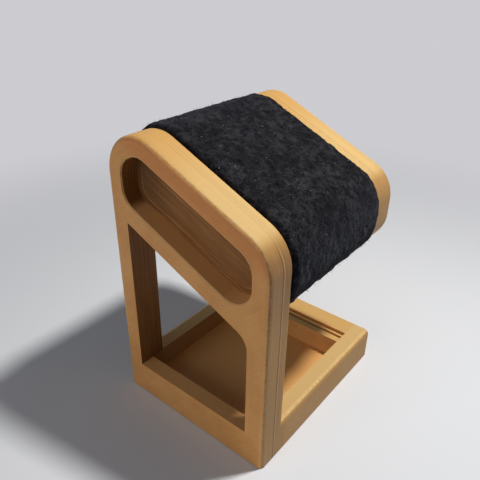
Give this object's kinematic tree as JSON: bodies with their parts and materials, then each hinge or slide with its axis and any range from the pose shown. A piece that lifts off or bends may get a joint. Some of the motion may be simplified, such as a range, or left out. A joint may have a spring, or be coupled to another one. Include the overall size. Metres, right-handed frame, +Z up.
{
  "type": "watch stand",
  "caption": "Desk stand for a wristwatch: a shallow tray, an upright side frame with a window, and a slanting felt-wrapped arm that a closed bracelet hangs round.",
  "frame": {"origin": "under the middle of the stand, on the surface that it stands on", "axes": "+X from the side frame to the free end of the arm, +Y from the low front to the high back, +Z up"},
  "size_m": [0.07, 0.0624, 0.0974],
  "materials": {
    "body": "satin wood-coloured print with fine layer lines",
    "felt": "black wool felt with a short nap"
  },
  "bodies": {
    "root": {"stand_body": "body", "felt_wrap": "felt"}
  },
  "joints": []
}
